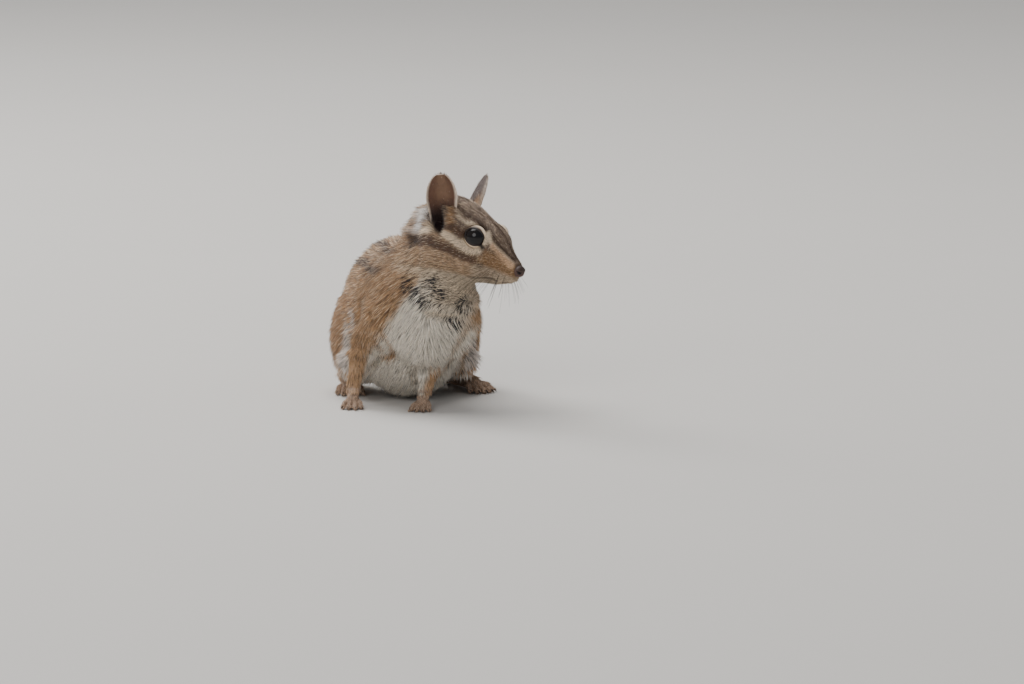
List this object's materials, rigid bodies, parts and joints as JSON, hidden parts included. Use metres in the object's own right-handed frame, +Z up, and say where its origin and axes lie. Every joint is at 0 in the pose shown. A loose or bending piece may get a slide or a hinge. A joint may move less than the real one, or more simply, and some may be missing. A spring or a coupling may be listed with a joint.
{
  "type": "chipmunk",
  "caption": "Life-size still model of a striped chipmunk crouched on all fours, head turned to its left, tail laid on the floor behind it.",
  "frame": {"origin": "on the floor, under the middle of the whole animal", "axes": "+Z up, the animal faces -Y with its left side towards +X, and its tail lies towards +Y"},
  "size_m": [0.0658, 0.1984, 0.09],
  "materials": {
    "coat_fur": "short rusty brown fur with dark and cream stripes",
    "pale_fur": "greyish white under fur",
    "tail_fur": "long dark brown hair with pale tips",
    "ear_skin": "thin skin with short fur and a pale rim",
    "paw": "short buff fur over grey-pink skin",
    "nose_skin": "damp bare skin",
    "eye": "wet glossy black",
    "claw": "smooth dark horn"
  },
  "bodies": {
    "root": {"chest": "pale_fur", "belly": "pale_fur", "rump": "coat_fur", "neck": "coat_fur", "eye_left": "eye", "eye_right": "eye", "nose": "nose_skin", "head": "coat_fur", "ear_left": "ear_skin", "ear_right": "ear_skin", "upper_arm_left": "coat_fur", "forearm_left": "coat_fur", "hand_left": "paw", "thigh_left": "coat_fur", "shank_left": "coat_fur", "foot_left": "paw", "upper_arm_right": "coat_fur", "forearm_right": "coat_fur", "hand_right": "paw", "thigh_right": "coat_fur", "shank_right": "coat_fur", "foot_right": "paw", "tail_base": "tail_fur", "tail_middle": "tail_fur", "tail_tip": "tail_fur"}
  },
  "joints": []
}
